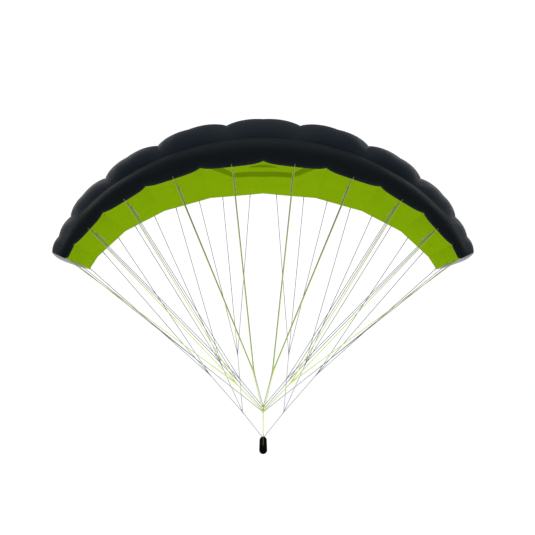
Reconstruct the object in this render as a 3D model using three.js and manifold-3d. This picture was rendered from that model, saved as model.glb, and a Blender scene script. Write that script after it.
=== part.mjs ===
// Parawing: an inflated double-skin canopy on rows of thin lines, flown from a short hand bar.
// Millimetres, +Z up, +X across the span. The nose faces -Y, and the origin is the middle of the bar.
import * as THREE from "three";
import { mergeVertices } from "three/addons/utils/BufferGeometryUtils.js";
import Module from "manifold-3d";

// Cloth
const SHEET = 2; // thickness of a panel
const RIB_SHEET = 1.2; // thickness of a rib
const RIB_INSET = 2.8; // how far a rib's edge is drawn in from the outer face of the skins
const GAP = 0.3; // clearance between pieces that are sewn or tied together

// Arch: the front seam seen from ahead
const SEAM_HEIGHT = 1548.5; // seam at mid span, above the bar's axis
const SEAM_FRONT = -393; // seam at mid span, ahead of the bar's middle
// Bays between unloaded ribs, from mid span outwards; the tip is halfway across the last
const BAY_WIDTHS = [343, 311, 277, 235, 178];
const OUTER_BAY = BAY_WIDTHS.length - 1;
const TIP = OUTER_BAY + 0.5;
const ARCH_EVEN = 43.5; // degrees of arch spread evenly along the half span
const ARCH_TIP = 22; // degrees more, gathered at the tip
const ARCH_TIP_POWER = 5;
const ARCH_STEPS = 40; // straight steps that add up to the arch

// Plan and section, as shares of the half span
const CHORD = 950; // seam to trailing edge at mid span
const CHORD_LOSS = 0.366; // share of the chord lost at the tip
const CHORD_POWER = 1.6;
const SWEEP = 170; // how far the seam is set back at the tip
const DEPTH = 918; // what the section's heights are shares of, at mid span
const DEPTH_LOSS = 0.585; // share of that lost at the tip
const DEPTH_POWER = 1.72;
const LEAN = 12.6; // degrees that the ribs lean outwards from the arch, at most
const LEAN_PLACE = 0.68; // where they do
const LEAN_POWER = 1.5;
const TIP_DEPTH = 0.066; // what the section's depth gains at the tip, where the lean dies out
const TIP_POWER = 14; // the higher, the closer to the tip that is gathered

// Section: distance behind the seam as a share of the chord, height over the lower skin as one of the depth
const at = (x, y) => new THREE.Vector2(x, y);
const NOSE_FRONT = at(-0.105, 0);
const CREASE = at(0.02, 0.147);
const CROWN_TOP = at(0.16, 0.294);
const PEAK = at(0.28, 0.294);
const AFT_CURVE = new THREE.CubicBezierCurve(PEAK, at(0.48, 0.294), at(0.78, 0.1), at(1, 0));
// Handles of the curves that meet in the crease, at mid span and at the tip, where it dies out
const NOSE_HANDLES = [at(-0.09, 0.085), at(-0.06, 0.062)];
const CROWN_HANDLES = [at(0.075, 0.237), at(0.08, 0.211)];
const CREASE_FADE = [0.55, 0.85]; // part of the half span over which it does

// Inflation between the ribs
const UPPER_BULGE = [0.088, 0.112, 0.121, 0.116, 0.1]; // heights of the upper bays over their widths
const UPPER_ROUNDNESS = 0.72; // under 1, a bay rises steeply from its ribs
const UPPER_FULLNESS = [0.9, 1.5]; // the same behind the crease, and where the crease has faded
const NOSE_FULLNESS = 0.12; // bulge of the nose over that of the bay behind it
const NOSE_ROUNDNESS = 1.5; // over 1, the nose turns softly into its seams
const VALLEY_REACH = 0.35; // share of an upper panel over which this gives way to its own roundness
const MIDDLE_DIP = [0.15, 0.15, 0.15, 0.15, 0.8]; // share of two lobes in an upper bay, from mid span
const LOWER_BULGE = 0.04; // depth of a lower panel at the front seam, as a share of its width
const LOWER_SQUARENESS = 5; // at the front seam, where a lower panel is level over most of its width
const LOWER_ROUNDNESS = 2; // well behind the seam
const LOWER_EASE = 6; // how soon the one gives way to the other
const LOWER_FADE = 1.5; // how the depth dies out towards the trailing edge
const TIP_BULGE = 19; // height of a tip panel
const TIP_FULLNESS = 0.75; // under 1, it rises steeply from its edges
const TIP_REAR = 1.3; // over 1, the tip panel is fullest behind its middle
const TIP_NOSE = 0.3; // share of the tip panel's length given to the nose
const TIP_BLUNT = 0.05; // half of the nose's curve that the tip panel's front edge spans

// Rows of lines: shares of the chord behind the seam, and ahead of it of the nose
const FRONT_ROW = -0.17;
const MIDDLE_ROW = 0.07;
const REAR_ROW = 0.25;
const TIP_ROWS = [0.17, 0.45];
const BRAKE_ROW = 0.985;

// Rows of points in each panel, along the section
const COLUMNS = 8; // in a whole bay
const NOSE_ROWS = [0, 0.08, -FRONT_ROW, 0.28, 0.44, 0.62, 0.8, 1];
const UPPER_ROWS = [0, 0.08, 0.18, 0.3, 0.42, 0.54, 0.66, 0.78, 0.9, 1];
const LOWER_ROWS = [0, 0.12, 0.35, 0.5, 0.65, 0.85, 1];
const TIP_STEPS = { nose: 3, body: 8, across: 4 };
const NORMAL_REACH = 0.03; // share of a panel's width over which its slope is taken
const FLAT_FROM = 0.8; // where the skins start to close on each other, as a share of the chord

// Control bar
const BAR_RADIUS = 21.8;
const BAR_REACH = 225; // from its middle to the centre of each round end
const CAP_LENGTH = 62; // from the cap's joint to the round end's centre
const BAR_CHAMFER = 1.5;
const BAR_SIDES = 24;
const CAP_STEPS = 6; // facets from a cap's side to its end

// Lines
const LEADER_RADIUS = 2.1;
const GREEN_GAUGE = { main: 2, branch: 1.9 }; // radii below and above a fork
const GREY_GAUGE = { main: 1.55, branch: 1.55 };
const LINE_SIDES = 6;
const KNOT_RADIUS = 7;
const SPLICE = 1.7; // radius of a splice over that of its line
const ROOT_SPLICE = 1.2; // the same at the leader's knot
const MERGE = 1e-4; // vertices closer than this are one
const TIP_INSET = 0.02; // how far inside the tip its lines are sewn, in bays
const ROOT_SPAN = 0.1; // bays beside a line's top over which the skin's slope is taken
const LEADER_FOOT = -214; // along the bar
const BRAKE_FOOT = { x: 6, y: 210 };
const LEADER_KNOT = { x: 0, y: -205, z: 201.5 };
const MIDDLE_KNOT = { x: 0, y: -203, z: 229 };
const OUTER_KNOT = { x: 0, y: -204, z: 214 }; // on the line between the two

// Forks of the lines on the right-hand side: where each fork is, and the rows and bays it carries
const FRONT_FORKS = [
  { x: 53, y: -234, z: 416, rows: [FRONT_ROW], bays: [0.5, 1.5] },
  { x: 148.5, y: -219, z: 357.5, rows: [FRONT_ROW], bays: [2.5, 3.5, TIP] },
];
const MIDDLE_FORKS = [
  { x: 50, y: -182, z: 413.5, rows: [MIDDLE_ROW], bays: [0.5, 1.5] },
  { x: 49.5, y: -138, z: 411.5, rows: [REAR_ROW], bays: [0.5, 1.5] },
  { x: 130.5, y: -144, z: 378.5, rows: [REAR_ROW], bays: [2.5, 3.5] },
];
const OUTER_FORK = { x: 146, y: -179, z: 377, rows: [MIDDLE_ROW], bays: [2.5, 3.5] };
const TIP_FORK = { x: 323.5, y: -128, z: 447, rows: TIP_ROWS, bays: [TIP] };
const BRAKE_FORK = { x: 123.5, y: 267, z: 161 };
const BRAKE_FORKS = [
  { x: 156.5, y: 329, z: 506, rows: [BRAKE_ROW], bays: [0.25, 0.775, 1.25] },
  { x: 255.5, y: 309, z: 443.5, rows: [BRAKE_ROW], bays: [1.75, 2.25, 2.75] },
  { x: 323.5, y: 298, z: 383, rows: [BRAKE_ROW], bays: [3.25, 3.81, TIP] },
];

// Materials
const cloth = (color) => new THREE.MeshStandardMaterial({ color, roughness: 0.6, metalness: 0 });
const UPPER_CLOTH = cloth(0x222a33);
const NOSE_CLOTH = cloth(0x141618);
const LOWER_CLOTH = cloth(0x7da20a);
const TIP_CLOTH = cloth(0xc8d0d7);
const RIB_CLOTH = cloth(0xe6e8ea);
const GREEN_LINE = new THREE.MeshStandardMaterial({ color: 0xaacd3c, roughness: 0.7, metalness: 0 });
const GREY_LINE = new THREE.MeshStandardMaterial({ color: 0x64696e, roughness: 0.7, metalness: 0 });
const GRIP_FOAM = new THREE.MeshStandardMaterial({ color: 0x16181a, roughness: 0.85, metalness: 0 });
const CAP_RUBBER = new THREE.MeshStandardMaterial({ color: 0x101112, roughness: 0.5, metalness: 0 });

const wasm = await Module();
wasm.setup();
const wing = new THREE.Group();

// Arch and plan

const HALF_SPAN = arcTo(TIP);

// Distance along the arch from mid span to a place given in bays.
function arcTo(bay) {
  const whole = Math.min(Math.floor(bay), OUTER_BAY);
  const inner = BAY_WIDTHS.slice(0, whole).reduce((sum, width) => sum + width, 0);
  return inner + (bay - whole) * BAY_WIDTHS[whole];
}

// Angle of the arch below level.
function archAngle(arc) {
  const share = arc / HALF_SPAN;
  return THREE.MathUtils.degToRad(ARCH_EVEN * share + ARCH_TIP * share ** ARCH_TIP_POWER);
}

// Frame of the section at a signed place in bays: its origin on the front seam's arch, the way up its
// leaning rib and the way along the span.
function frameAt(bay) {
  const side = bay < 0 ? -1 : 1;
  const arc = arcTo(Math.abs(bay));
  const share = arc / HALF_SPAN;
  const origin = new THREE.Vector3(0, SEAM_FRONT + SWEEP * share ** 2, SEAM_HEIGHT);
  for (let i = 0; i < ARCH_STEPS; i++) {
    const angle = archAngle((arc * (i + 0.5)) / ARCH_STEPS);
    origin.x += (side * Math.cos(angle) * arc) / ARCH_STEPS;
    origin.z -= (Math.sin(angle) * arc) / ARCH_STEPS;
  }
  const lean = THREE.MathUtils.degToRad(LEAN) * Math.sin((Math.PI / 2) * (share / LEAN_PLACE)) ** LEAN_POWER;
  const nearTip = share ** TIP_POWER;
  const angle = archAngle(arc) + lean * (1 - nearTip);
  const out = new THREE.Vector3(side * Math.sin(angle), 0, Math.cos(angle));
  const along = new THREE.Vector3(Math.cos(angle), 0, -side * Math.sin(angle));
  const chord = CHORD * (1 - CHORD_LOSS * share ** CHORD_POWER);
  const depth = DEPTH * (1 - DEPTH_LOSS * share ** DEPTH_POWER + TIP_DEPTH * nearTip);
  return { origin, out, along, chord, depth, share };
}

// Point of a section: back is the distance behind the seam and up the height over the arch.
function sectionPoint(frame, back, up) {
  const point = frame.origin.clone().addScaledVector(frame.out, up);
  point.y += back;
  return point;
}

// Inflation

// The lower panel that a place is in, from one unloaded rib to the next or to the tip: where it lies along
// the arch, and the place's share across it.
function lowerBay(bay) {
  const first = Math.min(Math.floor(Math.abs(bay)), OUTER_BAY);
  const from = arcTo(first);
  const width = arcTo(Math.min(first + 1, TIP)) - from;
  return { from, width, share: (arcTo(Math.abs(bay)) - from) / width };
}

// How far the straight line across a lower panel lies under the arch.
function flatDrop(bay) {
  const { from, width, share } = lowerBay(bay);
  const bend = archAngle(from + width) - archAngle(from);
  return (share * (1 - share) * width * bend) / 2;
}

// How far a lower panel hangs: 0 at its sides, most at the seam and none at the trailing edge.
function lowerLobe(bay, back = 0) {
  const { width, share } = lowerBay(bay);
  const front = 1 - back;
  const power = LOWER_ROUNDNESS + (LOWER_SQUARENESS - LOWER_ROUNDNESS) * front ** LOWER_EASE;
  return LOWER_BULGE * width * (1 - Math.abs(2 * share - 1) ** power) * front ** LOWER_FADE;
}

// Upper bay between two loaded ribs: 0 at the ribs, with a slight dip over the rib in its middle.
function upperLobe(bay, roundness) {
  const place = Math.abs(bay) + 0.5;
  const first = Math.min(Math.floor(place), OUTER_BAY);
  const share = place - first;
  const width = first === 0 ? 2 * arcTo(0.5) : arcTo(first + 0.5) - arcTo(first - 0.5);
  const dip = MIDDLE_DIP[first];
  const single = (4 * share * (1 - share)) ** roundness;
  const double = Math.abs(Math.sin(2 * Math.PI * share));
  return ((1 - dip) * single + dip * double) * width * (1 - dip / 2) * UPPER_BULGE[first];
}

// How far each skin stands off from the trailing edge's middle plane, so that the two lie together there.
function hemRise(share) {
  return (SHEET + GAP / 2) * THREE.MathUtils.smoothstep(share, FLAT_FROM, 1);
}

// Skins: each gives the outer face's point at a signed place in bays and a share along the section

// How far the crease has died out: 0 at mid span and 1 at the tip.
function creaseFade(frame) {
  return THREE.MathUtils.smoothstep(frame.share, ...CREASE_FADE);
}

function fadedHandle(handles, frame) {
  return handles[0].clone().lerp(handles[1], creaseFade(frame));
}

function noseCurve(frame) {
  return new THREE.CubicBezierCurve(at(0, 0), NOSE_FRONT, fadedHandle(NOSE_HANDLES, frame), CREASE);
}

function crownCurve(frame) {
  return new THREE.CubicBezierCurve(CREASE, fadedHandle(CROWN_HANDLES, frame), CROWN_TOP, PEAK);
}

function curvePoint(frame, curve, share, lift) {
  const point = curve.getPoint(share);
  const way = curve.getTangent(share);
  const back = point.x * frame.chord - way.y * lift;
  return { back, up: point.y * frame.depth + way.x * lift, share: point.x };
}

function noseSkin(bay, share) {
  const frame = frameAt(bay);
  const lift = NOSE_FULLNESS * upperLobe(bay, NOSE_ROUNDNESS) * Math.sin(Math.PI * share);
  const point = curvePoint(frame, noseCurve(frame), share, lift);
  const hang = (flatDrop(bay) + lowerLobe(bay)) * (1 - THREE.MathUtils.smoothstep(share, 0, 1));
  return sectionPoint(frame, point.back, point.up - hang);
}

function upperSkin(bay, share) {
  const frame = frameAt(bay);
  const aft = share > 0.5;
  const fullness = THREE.MathUtils.lerp(...UPPER_FULLNESS, creaseFade(frame));
  const valley = THREE.MathUtils.smoothstep(share, 0, VALLEY_REACH);
  const roundness = THREE.MathUtils.lerp(NOSE_ROUNDNESS, UPPER_ROUNDNESS, valley);
  const lift = upperLobe(bay, roundness) * Math.sin(Math.PI * share) ** fullness;
  const curve = aft ? AFT_CURVE : crownCurve(frame);
  const point = curvePoint(frame, curve, aft ? 2 * share - 1 : 2 * share, lift);
  const drop = aft ? flatDrop(bay) * (2 * share - 1) ** 2 : 0;
  return sectionPoint(frame, point.back, point.up - drop + hemRise(point.share));
}

function lowerSkin(bay, share) {
  const frame = frameAt(bay);
  const hang = flatDrop(bay) + lowerLobe(bay, share);
  return sectionPoint(frame, share * frame.chord, -hang - hemRise(share));
}

// Tip panel: across the end section from its lower outline to its upper one, blown out in the middle.
function tipSkin(side, length, across) {
  const end = side * TIP;
  const front = length < TIP_NOSE;
  const body = (length - TIP_NOSE) / (1 - TIP_NOSE);
  const half = 0.5 - TIP_BLUNT;
  const noseShare = (half * length) / TIP_NOSE;
  const lower = front ? noseSkin(end, half - noseShare) : lowerSkin(end, body);
  const upper = front ? noseSkin(end, 1 - half + noseShare) : upperSkin(end, body);
  const swell = (Math.sin(Math.PI * across) * Math.sin(Math.PI * length ** TIP_REAR)) ** TIP_FULLNESS;
  const reach = SHEET + GAP + TIP_BULGE * swell;
  return lower.lerp(upper, across).addScaledVector(frameAt(end).along, side * reach);
}

// Sheets

function steps(from, to, count) {
  return Array.from({ length: count + 1 }, (_, i) => from + ((to - from) * i) / count);
}

// Unit normal of a skin at (u, v), taken inside the panel where it lies on an edge.
function skinNormal(skin, u, v, us, vs) {
  const uSpan = (us.at(-1) - us[0]) * NORMAL_REACH;
  const vSpan = (vs.at(-1) - vs[0]) * NORMAL_REACH ** 2;
  const clampU = (value) => THREE.MathUtils.clamp(value, us[0] + uSpan, us.at(-1) - uSpan);
  const clampV = (value) => THREE.MathUtils.clamp(value, vs[0] + vSpan, vs.at(-1) - vSpan);
  const du = skin(clampU(u) + uSpan, clampV(v)).sub(skin(clampU(u) - uSpan, clampV(v)));
  const dv = skin(clampU(u), clampV(v) + vSpan).sub(skin(clampU(u), clampV(v) - vSpan));
  return du.cross(dv).normalize();
}

// Draws the rim of a grid of points in by half the clearance.
function drawIn(grid) {
  const last = grid.length - 1;
  const end = grid[0].length - 1;
  const pull = (edge, inner) => edge.addScaledVector(inner.clone().sub(edge).normalize(), GAP / 2);
  grid[0].forEach((point, j) => pull(point, grid[1][j]));
  grid[last].forEach((point, j) => pull(point, grid[last - 1][j]));
  grid.forEach((column) => {
    pull(column[0], column[1]);
    pull(column[end], column[end - 1]);
  });
}

// Closed sheet under a skin's outer face; turn is -1 where u and v run the other way round.
function sheet(skin, us, vs, turn = 1) {
  const outer = us.map((u) => vs.map((v) => skin(u, v)));
  drawIn(outer);
  const depth = (u, v) => skinNormal(skin, u, v, us, vs).multiplyScalar(-turn * SHEET);
  const inner = outer.map((column, i) => column.map((point, j) => depth(us[i], vs[j]).add(point)));
  const rows = vs.length;
  const count = us.length * rows;
  const index = [];
  const quad = (a, b, c, d) => index.push(...(turn > 0 ? [a, b, c, a, c, d] : [a, c, b, a, d, c]));
  for (let i = 0; i + 1 < us.length; i++) {
    for (let j = 0; j + 1 < rows; j++) {
      const a = i * rows + j;
      quad(a, a + rows, a + rows + 1, a + 1);
      quad(count + a, count + a + 1, count + a + rows + 1, count + a + rows);
    }
    const front = i * rows;
    const back = front + rows - 1;
    quad(front, count + front, count + front + rows, front + rows);
    quad(back, back + rows, count + back + rows, count + back);
  }
  for (let j = 0; j + 1 < rows; j++) {
    const far = (us.length - 1) * rows + j;
    quad(j, j + 1, count + j + 1, count + j);
    quad(far, count + far, count + far + 1, far + 1);
  }
  const points = [...outer.flat(), ...inner.flat()];
  return new THREE.BufferGeometry().setFromPoints(points).setIndex(index);
}

function addPiece(name, geometry, material) {
  const piece = new THREE.Mesh(geometry, material);
  piece.name = name;
  wing.add(piece);
}

// The same panel on both sides of mid span.
function addPair(name, number, from, to, makePanel) {
  const columns = COLUMNS * (to - from);
  makePanel(`${name}_right_${number}`, steps(from, to, columns));
  makePanel(`${name}_left_${number}`, steps(-to, -from, columns));
}

// Canopy

function addSkins() {
  const addUpper = (name, bays) => addPiece(name, sheet(upperSkin, bays, UPPER_ROWS), UPPER_CLOTH);
  const addNose = (name, bays) => addPiece(name, sheet(noseSkin, bays, NOSE_ROWS), NOSE_CLOTH);
  const addLower = (name, bays) => addPiece(name, sheet(lowerSkin, bays, LOWER_ROWS, -1), LOWER_CLOTH);
  addUpper("upper_middle", steps(-0.5, 0.5, COLUMNS));
  addNose("nose_middle", steps(-0.5, 0.5, COLUMNS));
  for (let bay = 1; bay <= OUTER_BAY; bay++) {
    addPair("upper", bay, bay - 0.5, bay + 0.5, addUpper);
    addPair("nose", bay, bay - 0.5, bay + 0.5, addNose);
  }
  for (let bay = 0; bay <= OUTER_BAY; bay++) {
    addPair("lower", bay + 1, bay, Math.min(bay + 1, TIP), addLower);
  }
}

function addTips() {
  const lengths = [...steps(0, TIP_NOSE, TIP_STEPS.nose), ...steps(TIP_NOSE, 1, TIP_STEPS.body).slice(1)];
  const across = steps(0, 1, TIP_STEPS.across);
  for (const side of [-1, 1]) {
    const panel = sheet((length, share) => tipSkin(side, length, share), lengths, across, side);
    addPiece(side > 0 ? "tip_right" : "tip_left", panel, TIP_CLOTH);
  }
}

// Rib: the section's outline drawn in from the skins, cut short ahead of the trailing edge.
function ribGeometry(bay) {
  const frame = frameAt(bay);
  const flat = (point) => {
    const up = point.clone().sub(frame.origin);
    return at(up.y, up.dot(frame.out));
  };
  const lower = LOWER_ROWS.slice(1, -1).map((share) => flat(lowerSkin(bay, share)));
  const upper = UPPER_ROWS.slice(1, -1).map((share) => flat(upperSkin(bay, share)));
  const nose = NOSE_ROWS.map((share) => flat(noseSkin(bay, share)));
  const outline = [...lower, ...upper.reverse(), ...nose.reverse()];
  const inset = outline.map((point, i) => {
    const arrive = point.clone().sub(outline.at(i - 1)).normalize();
    const leave = outline[(i + 1) % outline.length].clone().sub(point).normalize();
    const way = arrive.clone().add(leave).normalize();
    const reach = RIB_INSET / way.dot(leave);
    return at(point.x - way.y * reach, point.y + way.x * reach);
  });
  const shape = new THREE.Shape(inset);
  const plate = new THREE.ExtrudeGeometry(shape, { depth: RIB_SHEET, bevelEnabled: false });
  plate.translate(0, 0, -RIB_SHEET / 2);
  const back = new THREE.Vector3(0, 1, 0);
  const turn = new THREE.Matrix4().makeBasis(back, frame.out, back.clone().cross(frame.out));
  return plate.applyMatrix4(turn.setPosition(frame.origin));
}

function addRibs() {
  addPiece("rib_middle", ribGeometry(0), RIB_CLOTH);
  for (let number = 1; number <= 2 * OUTER_BAY; number++) {
    addPiece(`rib_right_${number}`, ribGeometry(number / 2), RIB_CLOTH);
    addPiece(`rib_left_${number}`, ribGeometry(-number / 2), RIB_CLOTH);
  }
}

// Lines

function solid(geometry) {
  const bare = geometry.clone();
  bare.deleteAttribute("normal");
  bare.deleteAttribute("uv");
  const merged = mergeVertices(bare, MERGE);
  const vertProperties = new Float32Array(merged.attributes.position.array);
  const triVerts = new Uint32Array(merged.index.array);
  return new wasm.Manifold(new wasm.Mesh({ numProp: 3, vertProperties, triVerts }));
}

function fuse(geometries) {
  const mesh = geometries.map(solid).reduce((whole, piece) => whole.add(piece)).getMesh();
  const geometry = new THREE.BufferGeometry();
  geometry.setAttribute("position", new THREE.BufferAttribute(mesh.vertProperties, 3));
  return geometry.setIndex(new THREE.BufferAttribute(mesh.triVerts, 1));
}

function rod(from, to, radius) {
  const way = to.clone().sub(from);
  const geometry = new THREE.CylinderGeometry(radius, radius, way.length(), LINE_SIDES);
  const axis = new THREE.Vector3(0, 1, 0);
  const turn = new THREE.Quaternion().setFromUnitVectors(axis, way.clone().normalize());
  const middle = from.clone().addScaledVector(way, 0.5);
  return geometry.applyQuaternion(turn).translate(middle.x, middle.y, middle.z);
}

function ball(centre, radius, detail = 0) {
  return new THREE.IcosahedronGeometry(radius, detail).translate(centre.x, centre.y, centre.z);
}

function placed(place, side = 1) {
  return new THREE.Vector3(side * place.x, place.y, place.z);
}

// Upper end of a line, just clear of the nose or the lower skin.
function lineTop(bay, row, fork, radius) {
  const skin = row < 0 ? noseSkin : lowerSkin;
  const share = Math.abs(row);
  const top = skin(bay, share);
  const normal = skinNormal(skin, bay, share, [bay - ROOT_SPAN, bay + ROOT_SPAN], [0, 1]);
  const way = fork.clone().sub(top).normalize();
  const slant = Math.sqrt(1 - way.dot(normal) ** 2);
  return top.addScaledVector(normal, Math.sign(row) * -(GAP + radius * slant));
}

// A fork's main line from its root, its splice and the lines that it carries.
function forkRods(fork, root, side, gauge) {
  const centre = placed(fork, side);
  const pieces = [rod(root, centre, gauge.main), ball(centre, gauge.main * SPLICE)];
  for (const bay of fork.bays) {
    const inside = Math.min(bay, TIP - TIP_INSET);
    for (const row of fork.rows) {
      pieces.push(rod(centre, lineTop(side * inside, row, centre, gauge.branch), gauge.branch));
    }
  }
  return pieces;
}

// Lines that start together, just clear of the leader's knot, and run to their forks.
function knotLines(forks, side, gauge) {
  const knot = placed(LEADER_KNOT);
  const middle = forks.reduce((sum, fork) => sum.add(placed(fork, side)), new THREE.Vector3());
  const way = middle.divideScalar(forks.length).sub(knot).normalize();
  const splice = gauge.main * ROOT_SPLICE;
  const root = knot.addScaledVector(way, KNOT_RADIUS + GAP + splice);
  return fuse([ball(root, splice), ...forks.flatMap((fork) => forkRods(fork, root, side, gauge))]);
}

function addKnotLines() {
  for (const side of [-1, 1]) {
    const end = side > 0 ? "right" : "left";
    addPiece(`front_lines_${end}`, knotLines(FRONT_FORKS, side, GREEN_GAUGE), GREEN_LINE);
    addPiece(`tip_lines_${end}`, knotLines([TIP_FORK], side, GREY_GAUGE), GREY_LINE);
  }
}

function addMiddleLines() {
  const knot = placed(MIDDLE_KNOT);
  const foot = placed(LEADER_KNOT);
  foot.z += KNOT_RADIUS + GAP;
  const pieces = [ball(knot, KNOT_RADIUS / 2, 1), rod(foot, knot, GREY_GAUGE.main)];
  for (const side of [-1, 1]) {
    pieces.push(...MIDDLE_FORKS.flatMap((fork) => forkRods(fork, knot, side, GREY_GAUGE)));
    pieces.push(...forkRods(OUTER_FORK, placed(OUTER_KNOT), side, GREY_GAUGE));
  }
  addPiece("middle_lines", fuse(pieces), GREY_LINE);
}

function addLeader() {
  const knot = placed(LEADER_KNOT);
  const splice = LEADER_RADIUS * SPLICE;
  const foot = new THREE.Vector3(0, LEADER_FOOT, BAR_RADIUS + GAP + splice);
  const pieces = [rod(foot, knot, LEADER_RADIUS), ball(knot, KNOT_RADIUS, 1), ball(foot, splice)];
  addPiece("leader_line", fuse(pieces), GREEN_LINE);
}

function addBrakeLines() {
  for (const side of [-1, 1]) {
    const fork = placed(BRAKE_FORK, side);
    const splice = GREY_GAUGE.main * SPLICE;
    const height = Math.sqrt((BAR_RADIUS + GAP + splice) ** 2 - BRAKE_FOOT.x ** 2);
    const foot = new THREE.Vector3(side * BRAKE_FOOT.x, BRAKE_FOOT.y, height);
    const pieces = BRAKE_FORKS.flatMap((carried) => forkRods(carried, fork, side, GREY_GAUGE));
    pieces.push(rod(foot, fork, GREY_GAUGE.main), ball(foot, splice), ball(fork, splice));
    addPiece(side > 0 ? "brake_lines_right" : "brake_lines_left", fuse(pieces), GREY_LINE);
  }
}

// Control bar

function addBar() {
  const joint = BAR_REACH - CAP_LENGTH;
  const edge = BAR_RADIUS - BAR_CHAMFER;
  const grip = [at(0, -joint), at(edge, -joint), at(BAR_RADIUS, BAR_CHAMFER - joint)];
  grip.push(at(BAR_RADIUS, joint - BAR_CHAMFER), at(edge, joint), at(0, joint));
  addPiece("bar_grip", new THREE.LatheGeometry(grip, BAR_SIDES), GRIP_FOAM);
  const start = joint + GAP;
  const cap = [at(0, start), at(edge, start), at(BAR_RADIUS, start + BAR_CHAMFER)];
  for (const angle of steps(0, Math.PI / 2, CAP_STEPS)) {
    cap.push(at(BAR_RADIUS * Math.cos(angle), BAR_REACH + BAR_RADIUS * Math.sin(angle)));
  }
  cap.at(-1).x = 0;
  addPiece("bar_cap_rear", new THREE.LatheGeometry(cap, BAR_SIDES), CAP_RUBBER);
  addPiece("bar_cap_front", new THREE.LatheGeometry(cap, BAR_SIDES).rotateZ(Math.PI), CAP_RUBBER);
}

addSkins();
addTips();
addRibs();
addKnotLines();
addMiddleLines();
addBrakeLines();
addLeader();
addBar();

export default wing;
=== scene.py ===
"""Parawing: an inflated double-skin canopy on rows of thin lines, flown from a short hand bar.

Metres, +Z up, +X across the span. The nose faces -Y and the origin is the middle of the bar.
A place along the span is given in bays from mid span: whole numbers are unloaded ribs, halves are
loaded ribs, and the tip lies halfway across the outer bay.
"""
import itertools
import math
from collections import namedtuple

import bpy
import numpy as np
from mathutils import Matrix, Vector


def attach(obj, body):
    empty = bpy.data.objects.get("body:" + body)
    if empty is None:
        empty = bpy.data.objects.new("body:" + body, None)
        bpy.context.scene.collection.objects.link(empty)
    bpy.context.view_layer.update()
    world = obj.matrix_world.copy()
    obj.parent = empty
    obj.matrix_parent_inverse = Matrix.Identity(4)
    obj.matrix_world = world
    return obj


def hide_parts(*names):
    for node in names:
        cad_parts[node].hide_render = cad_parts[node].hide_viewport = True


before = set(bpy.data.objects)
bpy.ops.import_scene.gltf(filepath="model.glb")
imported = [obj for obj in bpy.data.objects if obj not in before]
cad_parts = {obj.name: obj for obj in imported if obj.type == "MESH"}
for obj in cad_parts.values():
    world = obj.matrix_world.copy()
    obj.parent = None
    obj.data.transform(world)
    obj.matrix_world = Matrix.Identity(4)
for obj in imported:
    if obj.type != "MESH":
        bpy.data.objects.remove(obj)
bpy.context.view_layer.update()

BODY = "root"
SIDES = {"left": -1, "right": 1}
CHORDWISE = (0.0, 1.0, 0.0)
OFF_AXIS = (0.31, 0.87, 0.38)  # along none of the lines

# Camera, light and floor
CAMERA_PLACE = (0.0, -4.7127, 0.5755)
CAMERA_LENS = 55.0
CAMERA_SENSOR = 36.0
CAMERA_REACH = 500.0
CAMERA_PITCH = 5.28  # degrees up
CAMERA_YAW = 0.3  # degrees to the right
Light = namedtuple("Light", "place target size power")
LIGHTS = {
    "top_light": Light((0.0, -0.3, 6.2), (0.0, -0.1, 1.5), 4.0, 190.0),
    "left_light": Light((-2.2, 1.4, 2.6), (-0.7, 0.0, 1.4), 1.8, 64.0),
    "right_light": Light((2.2, 1.4, 2.6), (0.7, 0.0, 1.4), 1.8, 64.0),
}
WORLD_STRENGTH = 1.06
FLOOR_HEIGHT = -1.15  # the bar is held at about chest height
FLOOR_REACH = 60.0
FLOOR_COLOUR = (1.0, 1.0, 1.0)

# Cloth
CLOTH = 0.0008  # thickness of a panel
GAP = 0.0003  # between pieces that are sewn or tied together
SEAM_GAP = 0.0001  # between two panels
SEAM_DEPTH = 0.0003  # how far a panel's rim is drawn down into its seam
RIB_INSET = 0.004
RIB_INSET_MOST = 0.45  # as a share of the rib's height

# Arch: the front seam seen from ahead
SEAM_HEIGHT = 1.5485
SEAM_FRONT = -0.393
BAY_WIDTHS = np.array([0.343, 0.311, 0.277, 0.235, 0.178])
BAY_STARTS = np.concatenate([[0.0], np.cumsum(BAY_WIDTHS)])
OUTER_BAY = len(BAY_WIDTHS) - 1
TIP = OUTER_BAY + 0.5
ARCH_EVEN = 43.5  # degrees of arch spread evenly along the half span
ARCH_TIP = 22.0  # degrees more, gathered at the tip
ARCH_TIP_POWER = 5
ARCH_STEPS = 40

# Plan and section
CHORD = 0.95
CHORD_LOSS = 0.366
CHORD_POWER = 1.6
SWEEP = 0.17
DEPTH = 0.918  # what the section's heights are shares of, at mid span
DEPTH_LOSS = 0.585
DEPTH_POWER = 1.72
LEAN = 12.6  # degrees that the ribs lean outwards, at most
LEAN_PLACE = 0.68  # share of the half span where they do
LEAN_POWER = 1.5
TIP_DEPTH = 0.066  # what the section's depth gains at the tip, where the lean dies out
TIP_POWER = 14  # the higher, the closer to the tip that is gathered
NOSE_FRONT = (-0.105, 0)
CREASE = (0.02, 0.147)
CROWN_TOP = (0.16, 0.294)
PEAK = (0.28, 0.294)
AFT_CURVE = (PEAK, (0.48, 0.294), (0.78, 0.1), (1, 0))
# Handles of the curves that meet in the crease, at mid span and at the tip, where it dies out
NOSE_HANDLES = np.array([(-0.09, 0.085), (-0.06, 0.062)])
CROWN_HANDLES = np.array([(0.075, 0.237), (0.08, 0.211)])
CREASE_FADE = (0.55, 0.85)  # part of the half span over which it does

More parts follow.
